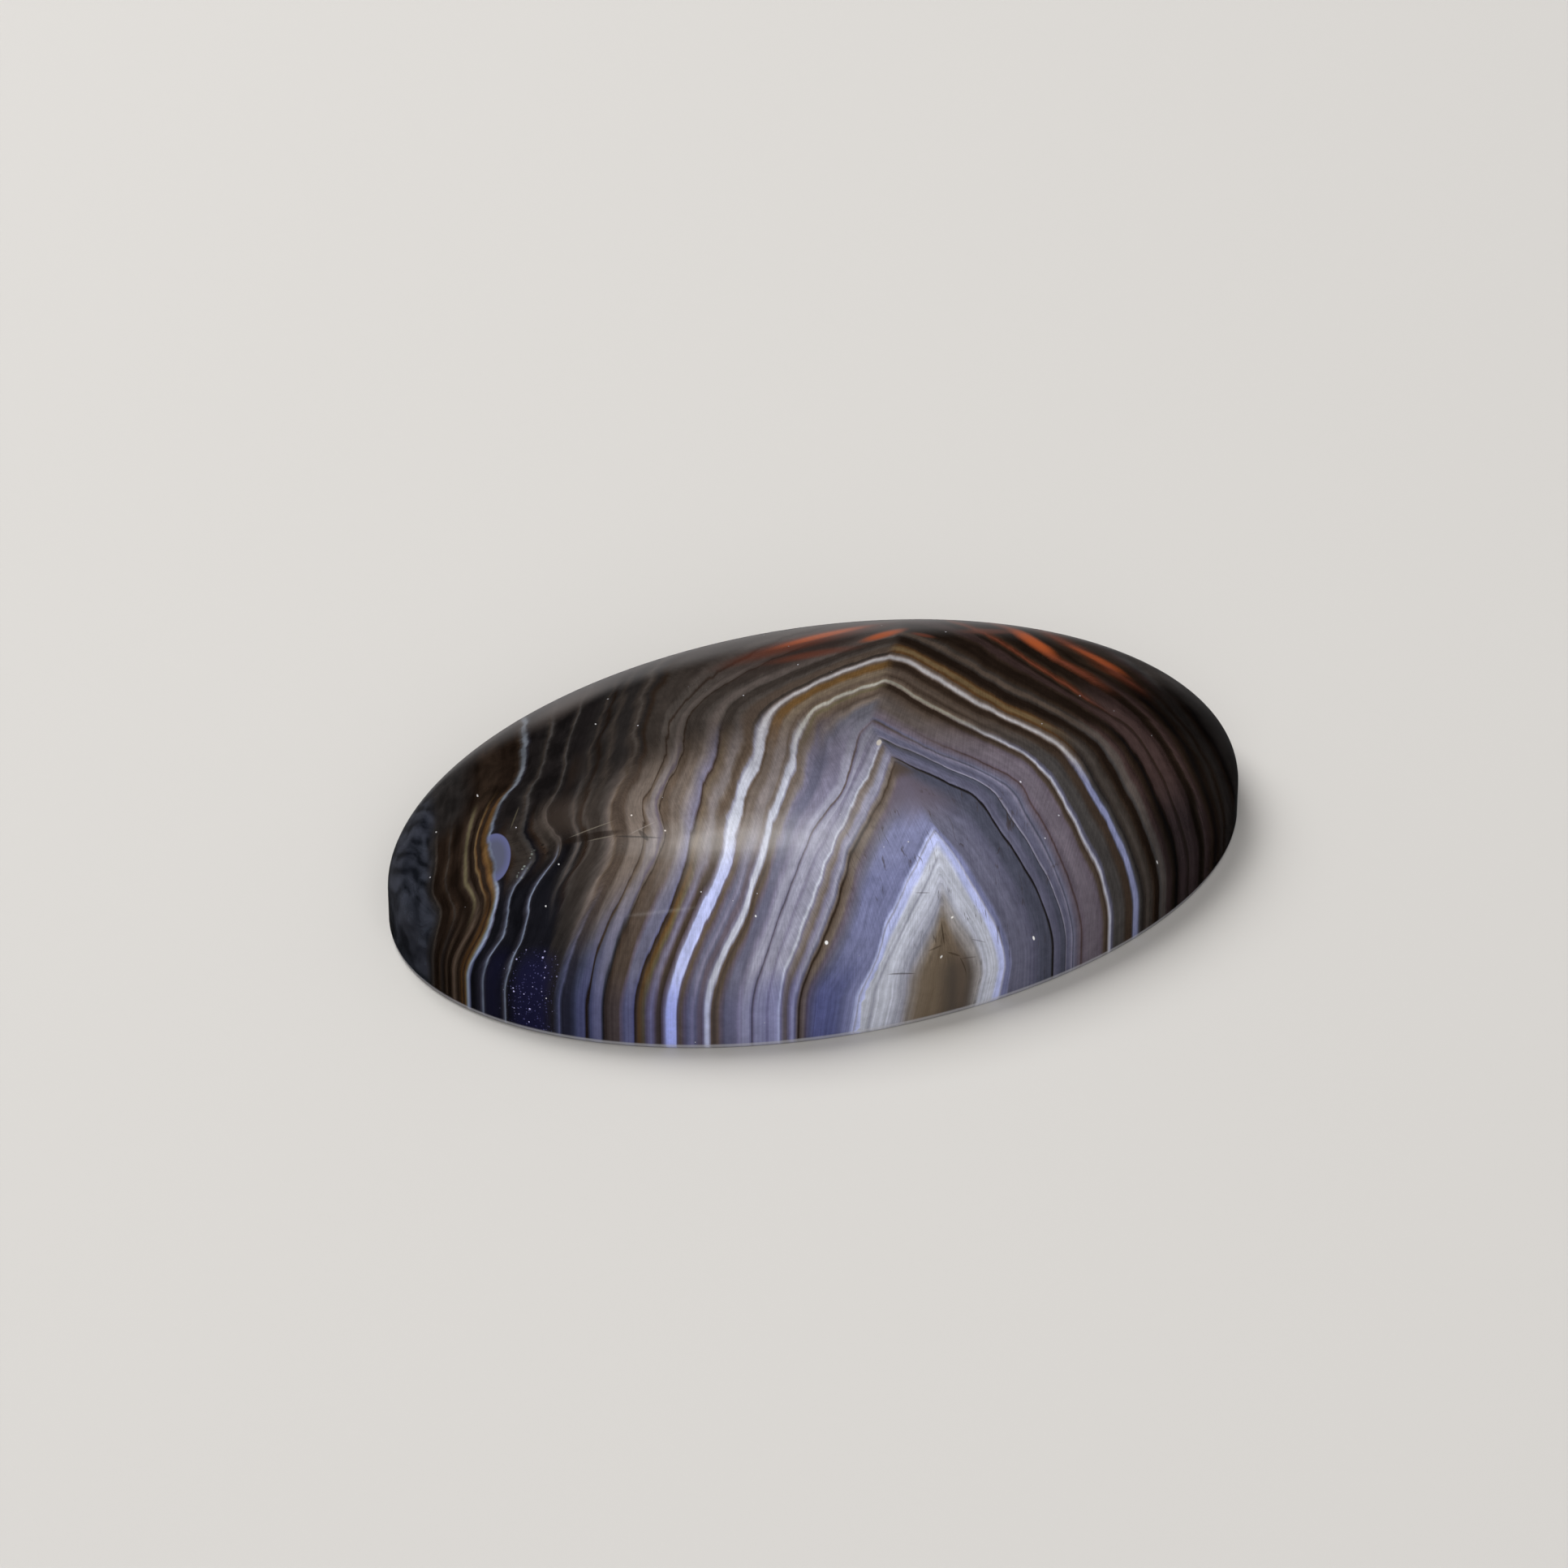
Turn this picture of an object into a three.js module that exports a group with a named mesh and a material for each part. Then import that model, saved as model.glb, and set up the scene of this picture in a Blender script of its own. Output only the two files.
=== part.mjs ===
// An oval agate cabochon: one piece of polished banded stone, with a domed top,
// a low upright wall and a flat back. It lies flat on its back.
// Millimetres, +Z up, +X along the long axis. The origin is the centre of the flat back.
import * as THREE from 'three';

// Driving dimensions
const LENGTH = 30.0;
const WIDTH = 20.0;
const WALL_HEIGHT = 1.3;
const DOME_RISE = 4.5;
const BASE_BEVEL = 0.2;

// How finely the curved faces are cut into flat facets
const SEGMENTS_AROUND = 96;
const RINGS_ON_DOME = 20;

// Half of the cross-section at the long end, from the middle of the back, out to the
// bevelled edge, up the wall and over the dome to the crown.
function halfSection() {
  const radius = LENGTH / 2;
  const points = [
    new THREE.Vector2(0, 0),
    new THREE.Vector2(radius - BASE_BEVEL, 0),
    new THREE.Vector2(radius, BASE_BEVEL),
    new THREE.Vector2(radius, WALL_HEIGHT),
  ];
  for (let ring = 1; ring < RINGS_ON_DOME; ring += 1) {
    const angle = (ring / RINGS_ON_DOME) * (Math.PI / 2);
    const outward = radius * Math.cos(angle);
    const height = WALL_HEIGHT + DOME_RISE * Math.sin(angle);
    points.push(new THREE.Vector2(outward, height));
  }
  points.push(new THREE.Vector2(0, WALL_HEIGHT + DOME_RISE));
  return points;
}

// The section is turned about the upright axis, then the round form is narrowed to the oval.
function stoneGeometry() {
  const geometry = new THREE.LatheGeometry(halfSection(), SEGMENTS_AROUND);
  geometry.rotateX(Math.PI / 2);
  geometry.scale(1, WIDTH / LENGTH, 1);
  geometry.computeVertexNormals();
  return geometry;
}

// Chalcedony with a high polish: dark grey-brown on the whole, with paler blue-grey bands.
function polishedAgate() {
  return new THREE.MeshStandardMaterial({
    name: 'polished_agate',
    color: '#4f4643',
    roughness: 0.08,
    metalness: 0,
  });
}

const cabochon = new THREE.Mesh(stoneGeometry(), polishedAgate());
cabochon.name = 'cabochon';

const group = new THREE.Group();
group.add(cabochon);

export default group;
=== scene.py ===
import math

import bpy
import numpy as np
from mathutils import Matrix, Vector


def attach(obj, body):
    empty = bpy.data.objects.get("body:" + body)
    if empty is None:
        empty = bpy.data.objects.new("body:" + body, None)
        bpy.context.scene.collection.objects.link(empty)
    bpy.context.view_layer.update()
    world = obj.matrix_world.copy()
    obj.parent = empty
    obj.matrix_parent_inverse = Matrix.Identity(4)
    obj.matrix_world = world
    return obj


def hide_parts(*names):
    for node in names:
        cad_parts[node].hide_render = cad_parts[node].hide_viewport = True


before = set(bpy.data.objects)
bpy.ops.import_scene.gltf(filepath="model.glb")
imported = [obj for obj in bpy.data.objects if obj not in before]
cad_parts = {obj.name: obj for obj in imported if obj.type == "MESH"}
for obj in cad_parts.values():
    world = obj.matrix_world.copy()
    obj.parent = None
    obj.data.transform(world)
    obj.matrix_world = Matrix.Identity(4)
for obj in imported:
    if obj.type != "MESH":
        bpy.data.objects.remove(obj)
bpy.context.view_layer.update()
scene = bpy.context.scene

# The stone: one piece of banded chalcedony, sawn from a nodule across its layers, ground to a
# calibrated oval with a low upright wall, domed, and polished to glass. It lies on its sawn flat back.
MM = 0.001
STONE_LENGTH = 30.0 * MM
STONE_WIDTH = 20.0 * MM
WALL_HEIGHT = 1.3 * MM
DOME_RISE = 4.5 * MM
BASE_BEVEL = 0.2 * MM
SEGMENTS_AROUND = 560
RINGS_ON_BASE = 30
RINGS_ON_BEVEL = 4
RINGS_ON_WALL = 10
RINGS_ON_DOME = 114

# Growth lines of the nodule, as they cross the stone in plan, in millimetres. Each is the age of a
# layer, counted in millimetres of growth outwards from the pale rim of the eye, then the line on its
# left flank up to the ridge where the layer turns, and the line from the ridge down its right flank.
GROWTH_LINES = [
    (-1.9,
     [(-2.2, -14.4), (-1.8, -13.8), (-1.5, -13.2), (-1.2, -12.7), (-0.9, -12.2),
      (-0.6, -11.7), (-0.4, -11.3), (-0.2, -11.0), (-0.05, -10.7), (0.1, -10.4)],
     [(0.1, -10.4), (0.2, -10.7), (0.3, -11.0), (0.4, -11.4), (0.5, -11.9), (0.6, -12.6), (0.8, -14.0)]),
    (-0.85,
     [(-3.8, -12.6), (-3.0, -11.9), (-2.4, -11.4), (-1.9, -10.9), (-1.35, -10.4),
      (-0.75, -9.95), (-0.25, -9.65), (0.1, -9.4), (0.35, -9.15), (0.55, -8.92)],
     [(0.55, -8.92), (0.6, -9.15), (0.66, -9.4), (0.78, -9.7), (1.05, -10.0), (1.4, -10.6), (1.9, -12.0)]),
    (0.25,
     [(-4.6, -10.5), (-3.5, -10.1), (-2.66, -9.9), (-2.0, -9.7), (-1.35, -9.29),
      (-0.66, -8.77), (-0.05, -8.26), (0.47, -7.83), (0.87, -7.44), (1.22, -7.09)],
     [(1.22, -7.09), (1.29, -7.44), (1.37, -7.79), (1.45, -8.18),
      (1.58, -8.67), (1.87, -9.44), (2.62, -11.37)]),
    (0.75,
     [(-5.2, -10.6), (-4.1, -10.0), (-3.0, -9.83), (-2.08, -9.46), (-1.4, -8.8),
      (-0.7, -8.2), (0.0, -7.55), (0.6, -7.0), (1.05, -6.55), (1.45, -6.15)],
     [(1.45, -6.15), (1.55, -6.55), (1.66, -6.95), (1.78, -7.4), (1.9, -8.0), (2.16, -8.9), (3.0, -11.2)]),
    (2.75,
     [(-6.6, -11.0), (-4.95, -9.55), (-3.8, -8.75), (-2.9, -7.9), (-2.2, -7.05),
      (-1.45, -6.1), (-0.2, -4.95), (0.7, -3.9), (1.05, -3.4), (1.4, -2.95)],
     [(1.4, -2.95), (1.7, -3.35), (2.1, -3.85), (2.7, -4.6), (3.35, -5.4), (3.62, -6.9), (4.6, -11.0)]),
    (3.5,
     [(-7.2, -10.5), (-5.8, -9.2), (-4.7, -8.2), (-3.7, -7.2), (-2.8, -6.25),
      (-1.95, -5.45), (-0.7, -4.15), (0.6, -2.7), (1.0, -2.2), (1.4, -1.75)],
     [(1.4, -1.75), (1.8, -2.35), (2.2, -2.85), (2.9, -3.75), (4.05, -5.15), (4.3, -6.7), (5.15, -11.0)]),
    (4.4,
     [(-7.9, -10.3), (-6.3, -9.0), (-5.1, -7.95), (-4.1, -6.9), (-3.1, -5.8),
      (-2.3, -4.95), (-0.75, -3.7), (0.45, -1.85), (1.05, -1.2), (1.65, -0.75)],
     [(1.65, -0.75), (2.0, -1.45), (2.45, -2.2), (3.1, -3.1), (4.65, -4.95), (4.9, -6.6), (5.3, -11.0)]),
    (5.7,
     [(-9.0, -9.9), (-7.58, -8.5), (-6.0, -7.3), (-4.88, -6.05), (-4.12, -5.05),
      (-3.4, -4.05), (-2.15, -2.45), (-0.5, 0.05), (1.2, 0.95), (3.05, 1.35)],
     [(3.05, 1.35), (3.3, 0.85), (3.7, -0.1), (4.35, -1.5), (6.1, -4.1), (6.42, -6.0), (6.85, -10.4)]),
    (6.9,
     [(-10.1, -9.2), (-8.62, -7.97), (-7.1, -6.75), (-5.7, -5.4), (-4.75, -4.0),
      (-4.0, -2.85), (-2.7, -1.25), (-1.26, 0.93), (1.2, 2.13), (3.9, 2.88)],
     [(3.9, 2.88), (4.45, 2.0), (4.95, 0.3), (5.65, -1.3), (7.2, -3.55), (7.55, -5.6), (8.0, -10.4)]),
    (8.1,
     [(-11.3, -8.9), (-9.8, -7.5), (-8.3, -6.3), (-7.1, -5.08), (-6.3, -3.9),
      (-5.43, -2.52), (-4.0, -0.55), (-2.2, 2.05), (1.5, 3.5), (5.0, 4.6)],
     [(5.0, 4.6), (5.45, 3.2), (6.05, 1.2), (6.85, -0.7), (8.45, -3.35), (8.68, -5.6), (8.9, -10.2)]),
    (9.3,
     [(-12.0, -8.3), (-10.5, -7.05), (-9.2, -5.8), (-7.87, -4.6), (-6.95, -3.5),
      (-6.35, -1.85), (-4.9, -0.1), (-3.2, 2.55), (1.3, 4.75), (6.0, 6.3)],
     [(6.0, 6.3), (7.1, 3.8), (7.6, 1.3), (8.55, -0.8), (9.65, -3.1), (9.85, -5.6), (9.75, -9.6)]),
    (10.1,
     [(-12.6, -7.8), (-11.1, -6.6), (-9.9, -5.5), (-8.6, -4.4), (-7.6, -3.15),
      (-7.05, -1.7), (-5.6, 0.0), (-3.9, 2.75), (0.6, 5.9), (7.3, 8.4)],
     [(7.3, 8.4), (7.85, 4.3), (8.4, 1.45), (9.25, -1.05), (10.25, -2.9), (10.42, -5.0), (10.3, -9.4)]),
    (11.2,
     [(-13.2, -7.2), (-11.8, -6.1), (-10.4, -4.95), (-9.4, -4.1), (-8.4, -3.0),
      (-7.8, -1.2), (-6.4, 0.5), (-4.9, 3.5), (-1.5, 8.0), (7.0, 10.9)],
     [(9.0, 10.2), (9.25, 4.4), (9.6, 1.7), (10.55, -0.7), (11.2, -2.7), (11.3, -5.0), (11.15, -9.0)]),
    (12.4,
     [(-13.8, -6.5), (-12.6, -5.5), (-11.4, -4.3), (-10.7, -3.4), (-9.5, -2.2),
      (-9.2, -0.9), (-8.2, 0.7), (-6.7, 3.3), (-3.4, 8.2), (1.5, 12.0)],
     [(12.2, 8.2), (10.7, 4.4), (11.3, 1.4), (11.9, -0.8), (12.3, -2.8), (12.35, -5.0), (12.2, -8.6)]),
    (13.5,
     [(-13.9, -5.1), (-13.0, -4.65), (-12.2, -4.2), (-11.5, -3.15), (-10.2, -2.1),
      (-9.95, -0.2), (-8.9, 1.0), (-7.8, 3.1), (-4.7, 8.2), (-1.0, 12.4)],
     [(13.6, 8.0), (12.5, 4.8), (12.7, 1.2), (13.0, -0.8), (13.3, -2.8), (13.35, -5.0), (13.2, -8.2)]),
    (14.2,
     [(-14.8, -4.4), (-13.6, -4.1), (-12.7, -3.75), (-12.05, -2.75), (-11.1, -2.0),
      (-10.75, -0.4), (-9.9, 1.25), (-8.7, 2.8), (-5.9, 8.2), (-2.2, 12.6)],
     [(14.6, 7.8), (13.5, 5.0), (13.7, 1.2), (14.0, -0.8), (14.2, -2.8), (14.2, -5.0), (14.1, -8.2)]),
    (14.9,
     [(-15.4, -3.75), (-14.1, -3.6), (-13.2, -3.35), (-12.55, -2.5), (-12.3, -1.6),
      (-11.85, 0.1), (-10.85, 1.45), (-9.5, 2.8), (-7.1, 8.2), (-3.2, 12.8)],
     [(15.6, 7.6), (14.5, 5.2), (14.7, 1.2), (15.0, -0.8), (15.1, -2.8), (15.1, -5.0), (15.0, -8.2)]),
    (15.9,
     [(-15.8, -3.2), (-14.6, -3.0), (-13.7, -2.75), (-13.15, -2.2), (-13.05, -1.3),
      (-12.6, 0.0), (-11.8, 1.4), (-10.7, 3.2), (-8.6, 8.2), (-5.0, 13.0)],
     [(16.6, 7.6), (15.5, 5.2), (15.7, 1.2), (16.0, -0.8), (16.1, -2.8), (16.1, -5.0), (16.0, -8.2)]),
    (17.0,
     [(-16.0, -2.5), (-15.0, -2.35), (-14.35, -2.1), (-13.95, -1.6), (-13.85, -0.6),
      (-13.3, 0.5), (-12.7, 1.8), (-11.9, 3.7), (-10.2, 8.2), (-7.0, 13.0)],
     [(17.6, 7.6), (16.5, 5.2), (16.7, 1.2), (17.0, -0.8), (17.1, -2.8), (17.1, -5.0), (17.0, -8.2)]),
    (19.0,
     [(-16.6, -1.2), (-16.0, -1.1), (-15.6, -0.9), (-15.3, -0.5), (-15.1, 0.2),
      (-14.8, 1.2), (-14.4, 2.4), (-13.7, 4.4), (-12.4, 8.2), (-10.0, 13.0)],
     [(19.6, 7.6), (18.5, 5.2), (18.7, 1.2), (19.0, -0.8), (19.1, -2.8), (19.1, -5.0), (19.0, -8.2)]),
]
LEFT_FLANK = 1
RIGHT_FLANK = 2
OUTERMOST_AGE = 19.0
STEPS_PER_SPAN = 8

# In the wall under the eye the layers lean to the left: fully near its middle, and not at all farther off.
LAYER_LEAN = 0.22
EYE_MIDDLE = -0.8 * MM
LEAN_FULL_WITHIN = 2.6 * MM
LEAN_NONE_BEYOND = 4.4 * MM


def smoothed(rows, steps):
    """A Catmull-Rom curve through the rows, with so many steps between one row and the next."""
    padded = np.concatenate([2 * rows[:1] - rows[1:2], rows, 2 * rows[-1:] - rows[-2:-1]])
    before, here, after, beyond = (padded[i:len(padded) - 3 + i][:, None] for i in range(4))
    t = np.linspace(0, 1, steps, endpoint=False).reshape((1, steps) + (1,) * (rows.ndim - 1))
    linear = (after - before) * t
    square = (2 * before - 5 * here + 4 * after - beyond) * t ** 2
    cube = (3 * here - before - 3 * after + beyond) * t ** 3
    curve = 0.5 * (2 * here + linear + square + cube)
    return np.concatenate([curve.reshape((-1,) + rows.shape[1:]), rows[-1:]])


def flank_sheet(flank, first_vertex):
    """One flank as a sheet over the plan, as high as its layers are old.

    It gives the sheet's points, how far along its layer each lies from the ridge, and the faces.
    """
    net = np.array([[(x, y, line[0]) for x, y in line[flank]] for line in GROWTH_LINES])
    net = smoothed(np.swapaxes(net, 0, 1), STEPS_PER_SPAN)
    net = smoothed(np.swapaxes(net, 0, 1), STEPS_PER_SPAN)
    run = np.hypot(*np.diff(net[:, :, :2], axis=1).transpose(2, 0, 1))
    along = np.concatenate([np.zeros((len(net), 1)), np.cumsum(run, axis=1)], axis=1)
    if flank == LEFT_FLANK:
        along = along - along[:, -1:]
    count = net.shape[1]
    faces = []
    for row in range(len(net) - 1):
        for col in range(count - 1):
            corner = first_vertex + row * count + col
            faces.append((corner, corner + 1, corner + count + 1, corner + count))
    return net.reshape(-1, 3) * MM, along.ravel(), faces


def add_node(tree, kind, sockets=None, **settings):
    """Adds a node with its settings. Its inputs are set, or linked where a node or a socket is given."""
    node = tree.nodes.new(kind)
    for name, value in settings.items():
        setattr(node, name, value)
    for key, value in (sockets or {}).items():
        if isinstance(value, bpy.types.Node):
            value = value.outputs[0]
        if isinstance(value, bpy.types.NodeSocket):
            tree.links.new(value, node.inputs[key])
        else:
            node.inputs[key].default_value = value
    return node


left_points, left_along, left_faces = flank_sheet(LEFT_FLANK, 0)
right_points, right_along, right_faces = flank_sheet(RIGHT_FLANK, len(left_points))
sheet_mesh = bpy.data.meshes.new("growth_sheet")
sheet_mesh.from_pydata(np.concatenate([left_points, right_points]).tolist(), [], left_faces + right_faces)
sheet_along = sheet_mesh.attributes.new("along", "FLOAT", "POINT")
sheet_along.data.foreach_set("value", np.concatenate([left_along, right_along]).astype(np.float32))
growth_sheet = bpy.data.objects.new("growth_sheet", sheet_mesh)
scene.collection.objects.link(growth_sheet)

# The polished agate. Chalcedony is quartz too fine to see, IOR 1.54, and a lapidary's polish leaves
# no more than a faint haze: it gives the eye sharp bands under a wet, glassy skin.
agate = bpy.data.materials.new("chalcedony_lapidary_polished")


def linear_colour(hex_code, alpha=1.0):
    """A hex colour as sRGB shows it, turned linear."""
    channels = [int(hex_code[i:i + 2], 16) / 255 for i in (0, 2, 4)]
    return [c / 12.92 if c <= 0.04045 else ((c + 0.055) / 1.055) ** 2.4 for c in channels] + [alpha]


TONES = {
    "icy": "bec6f2",
    "azure": "7c90cc",
    "chalk": "b6b9c8",
    "bone": "c4c8d6",
    "silver": "a6a3a4",
    "mist": "9d9fae",
    "cream": "a3a096",
    "flax": "827e73",
    "oat": "908a87",
    "putty": "827566",
    "pearl": "9898aa",
    "steel": "8590a6",
    "pewter": "696e76",
    "iris": "797da1",
    "lilac": "7e7b90",
    "larkspur": "858aae",
    "fog": "5e5d65",
    "violet": "62637f",
    "heather": "68687c",
    "dusk": "5c5c70",
    "slate": "4c4e5d",
    "ash": "3c3d48",
    "iron": "2b2a31",
    "navy": "1a1a36",
    "ink": "15151a",
    "mauve": "645b66",
    "thistle": "6c646e",
    "dove": "827a79",
    "hazel": "6e6152",
    "fawn": "70655d",
    "taupe": "564e4a",
    "tan": "5f5247",
    "bark": "4d423a",
    "shade": "46403c",
    "char": "36302c",
    "walnut": "3d322a",
    "umber": "2c221b",
    "sepia": "1e1611",
    "pitch": "1b1818",
    "jet": "110f10",
    "smoke": "43403f",
    "soot": "252221",
    "khaki": "605843",
    "ochre": "644b2d",
    "gilt": "65533a",
    "sienna": "4f3822",
    "rosewood": "463735",
    "plum": "362927",
    "rust": "4c2a1c",
    "garnet": "663728",
    "ember": "b45a30",
}

# The bands of each stretch of a flank: the age where a tone stands, in millimetres, and the tone.
# The tones hold the stone's own colours together with painted light and shade: the front stretches
# paler and bluer, the rear ones dimmer.
FRONT_LEFT_BANDS = [
    (-2.0, "tan"), (-1.35, "hazel"), (-1.05, "hazel"), (-0.88, "putty"), (-0.74, "oat"), (-0.56, "mist"),
    (-0.3, "chalk"), (-0.08, "bone"), (0.1, "bone"), (0.17, "mist"), (0.25, "bone"), (0.4, "bone"),
    (0.5, "icy"), (0.64, "icy"), (0.69, "pearl"), (0.73, "icy"), (0.81, "iris"), (0.95, "iris"),
    (1.8, "iris"), (2.05, "heather"), (2.28, "mauve"), (2.42, "fawn"), (2.58, "tan"), (2.64, "umber"),
    (2.68, "walnut"), (2.72, "fawn"), (2.8, "heather"), (2.87, "pearl"), (2.98, "lilac"), (3.08, "fawn"),
    (3.16, "dove"), (3.2, "lilac"), (3.24, "bone"), (3.28, "pearl"), (3.42, "pearl"), (3.52, "lilac"),
    (3.64, "pearl"), (4.12, "pearl"), (4.22, "lilac"), (4.27, "mauve"), (4.3, "slate"), (4.34, "lilac"),
    (4.44, "pearl"), (4.62, "pearl"), (4.76, "lilac"), (4.95, "heather"), (5.12, "heather"),
    (5.24, "mauve"), (5.34, "tan"), (5.44, "bark"), (5.51, "tan"), (5.56, "pearl"), (5.6, "bone"),
    (5.72, "chalk"), (5.78, "lilac"), (5.87, "mauve"), (5.97, "mauve"), (6.07, "heather"),
    (6.14, "lilac"), (6.28, "heather"), (6.42, "mauve"), (6.52, "tan"), (6.58, "tan"), (6.65, "mauve"),
    (6.7, "icy"), (7.01, "icy"), (7.06, "lilac"), (7.13, "mauve"), (7.22, "walnut"), (7.34, "bark"),
    (7.41, "mauve"), (7.5, "lilac"), (7.62, "mauve"), (7.72, "khaki"), (7.86, "ochre"), (7.96, "walnut"),
    (8.04, "umber"), (8.09, "violet"), (8.18, "heather"), (8.4, "heather"), (8.5, "heather"),
    (8.64, "mauve"), (8.76, "bark"), (9.2, "bark"), (9.33, "walnut"), (9.43, "soot"), (9.5, "ash"),
    (9.56, "heather"), (9.74, "heather"), (9.84, "dusk"), (9.95, "slate"), (10.0, "umber"),
    (10.05, "umber"), (10.1, "dusk"), (10.28, "dusk"), (10.42, "slate"), (10.6, "ash"), (10.78, "iron"),
    (11.04, "iron"), (11.1, "ash"), (11.17, "dusk"), (11.24, "slate"), (11.34, "ash"), (11.46, "soot"),
    (11.96, "soot"), (12.16, "ink"), (13.4, "ink"), (13.48, "iron"), (13.52, "steel"), (13.56, "slate"),
    (13.63, "iron"), (13.74, "ink"), (14.14, "ink"), (14.21, "iron"), (14.25, "steel"), (14.3, "slate"),
    (14.37, "iron"), (14.5, "ink"), (14.76, "ink"), (14.83, "dusk"), (14.87, "steel"), (14.92, "steel"),
    (14.97, "pewter"), (15.02, "khaki"), (15.12, "sienna"), (15.2, "umber"), (15.32, "sienna"),
    (15.44, "umber"), (15.56, "sepia"), (15.72, "walnut"), (15.78, "bark"), (15.86, "walnut"),
    (16.0, "sepia"), (16.2, "sepia"), (16.36, "walnut"), (16.46, "sepia"), (16.56, "jet"), (16.7, "jet"),
    (16.85, "umber"), (16.95, "sepia"), (17.1, "jet"), (20.0, "jet"),
]
MIDDLE_LEFT_BANDS = [
    (-2.0, "hazel"), (-1.05, "hazel"), (-0.88, "putty"), (-0.74, "oat"), (-0.56, "mist"), (-0.08, "bone"),
    (0.3, "bone"), (0.44, "icy"), (0.65, "icy"), (0.72, "pearl"), (0.8, "iris"), (0.92, "heather"),
    (1.25, "heather"), (1.45, "lilac"), (1.7, "heather"), (2.1, "heather"), (2.28, "mauve"),
    (2.42, "fawn"), (2.56, "tan"), (2.61, "walnut"), (2.66, "fawn"), (2.76, "dove"), (2.83, "lilac"),
    (2.88, "pearl"), (3.0, "pearl"), (3.1, "dove"), (3.19, "fawn"), (3.23, "dove"), (3.27, "bone"),
    (3.31, "pearl"), (3.44, "pearl"), (3.58, "lilac"), (3.72, "lilac"), (3.9, "pearl"), (4.08, "pearl"),
    (4.2, "lilac"), (4.25, "mauve"), (4.29, "tan"), (4.33, "pearl"), (4.5, "pearl"), (4.6, "lilac"),
    (4.84, "lilac"), (4.95, "heather"), (5.1, "heather"), (5.24, "lilac"), (5.34, "dove"), (5.44, "fawn"),
    (5.53, "fawn"), (5.58, "pearl"), (5.62, "bone"), (5.74, "chalk"), (5.81, "dove"), (5.89, "fawn"),
    (5.98, "dove"), (6.22, "dove"), (6.4, "fawn"), (6.58, "fawn"), (6.68, "tan"), (6.73, "dove"),
    (6.77, "chalk"), (6.84, "bone"), (7.02, "bone"), (7.09, "pearl"), (7.16, "fawn"), (7.24, "tan"),
    (7.34, "tan"), (7.42, "fawn"), (7.5, "dove"), (7.62, "dove"), (7.76, "fawn"), (7.9, "hazel"),
    (7.97, "tan"), (8.03, "walnut"), (8.07, "mauve"), (8.12, "lilac"), (8.5, "dove"), (8.66, "fawn"),
    (8.95, "fawn"), (9.15, "tan"), (9.33, "tan"), (9.38, "walnut"), (9.42, "fawn"), (9.52, "mauve"),
    (9.64, "dove"), (9.78, "dove"), (9.92, "fawn"), (10.02, "tan"), (10.07, "walnut"), (10.12, "fawn"),
    (10.28, "fawn"), (10.5, "fawn"), (10.68, "fawn"), (10.88, "bark"), (11.04, "bark"), (11.18, "bark"),
    (11.26, "bark"), (11.32, "tan"), (11.38, "fawn"), (11.5, "taupe"), (11.62, "shade"), (11.74, "char"),
    (11.84, "char"), (11.96, "char"), (12.06, "shade"), (12.15, "umber"), (12.3, "soot"),
    (12.36, "smoke"), (12.42, "taupe"), (12.48, "smoke"), (12.58, "soot"), (12.8, "jet"), (13.2, "jet"),
    (13.34, "soot"), (13.41, "taupe"), (13.45, "shade"), (13.52, "shade"), (13.64, "char"),
    (13.84, "char"), (13.96, "umber"), (14.14, "ink"), (14.2, "smoke"), (14.26, "shade"), (14.33, "char"),
    (14.48, "char"), (14.58, "umber"), (14.7, "ink"), (14.79, "iron"), (14.84, "steel"),
    (14.88, "pewter"), (14.92, "tan"), (14.97, "ochre"), (15.03, "ochre"), (15.11, "sienna"),
    (15.2, "umber"), (15.34, "umber"), (15.4, "sienna"), (15.46, "gilt"), (15.54, "umber"),
    (15.74, "sepia"), (15.86, "walnut"), (15.94, "khaki"), (15.99, "khaki"), (16.07, "walnut"),
    (16.16, "umber"), (16.3, "sepia"), (16.5, "sepia"), (16.63, "umber"), (16.69, "char"),
    (16.75, "umber"), (16.9, "sepia"), (17.14, "sepia"), (17.22, "char"), (17.3, "soot"), (20.0, "soot"),
]
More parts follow.
